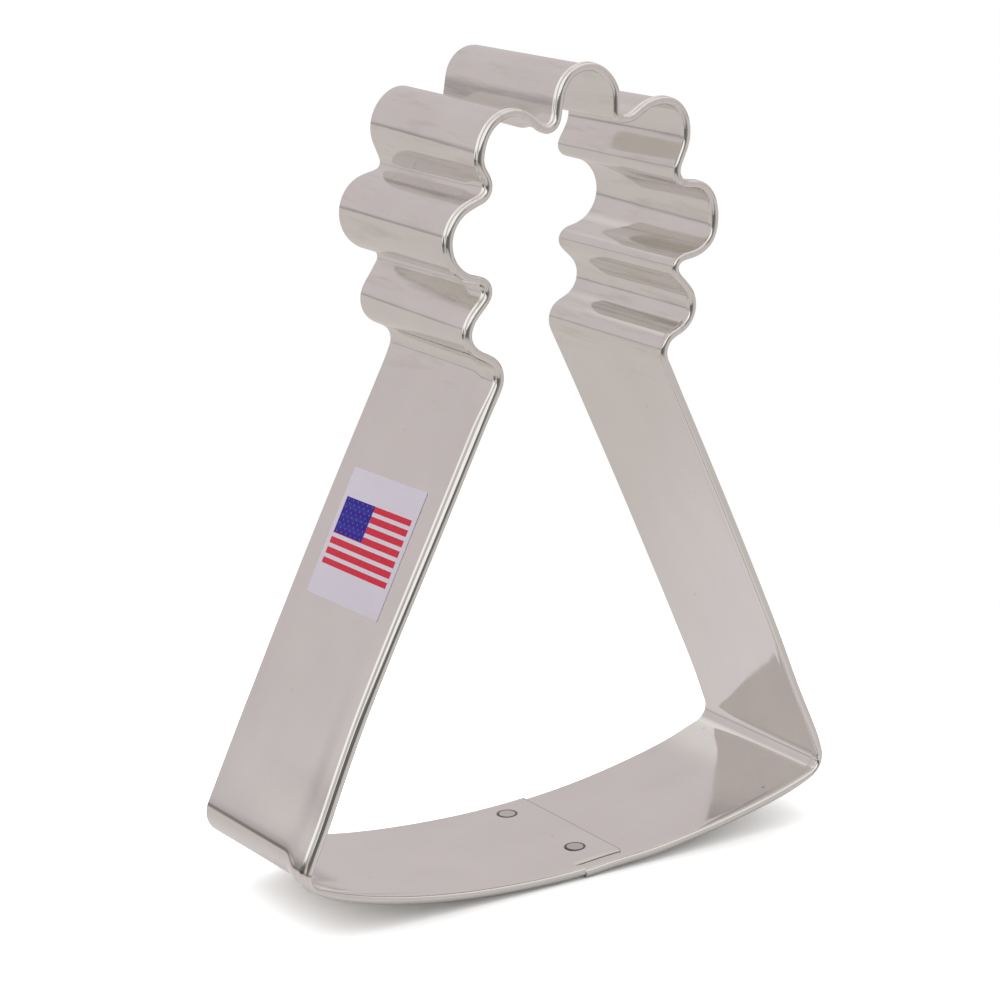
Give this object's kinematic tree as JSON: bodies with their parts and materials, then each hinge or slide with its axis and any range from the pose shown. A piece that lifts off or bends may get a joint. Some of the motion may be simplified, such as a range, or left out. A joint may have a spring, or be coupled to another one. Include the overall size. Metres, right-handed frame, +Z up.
{
  "type": "cookie cutter",
  "caption": "Party-hat cookie cutter: a tinplate strip with a hemmed grip rim and a plain cutting edge, bent into a hat with a scalloped pompom and joined by a spot-welded lap seam.",
  "frame": {"origin": "under the middle of the cutter, at the lowest point of the brim it stands on", "axes": "+Z up from the brim to the pompom, +X across the hat to its right, +Y from the hemmed rim to the cutting edge"},
  "size_m": [0.08, 0.0254, 0.1044],
  "materials": {
    "tinplate": "bright rolled tinplate, faintly warm",
    "weld_metal": "dished by the electrodes, ringed by heat",
    "label_paper": "white coated paper with a striped flag print"
  },
  "bodies": {
    "root": {"steel_band": "tinplate", "spot_weld_rear": "weld_metal", "spot_weld_front": "weld_metal", "label": "label_paper"}
  },
  "joints": []
}
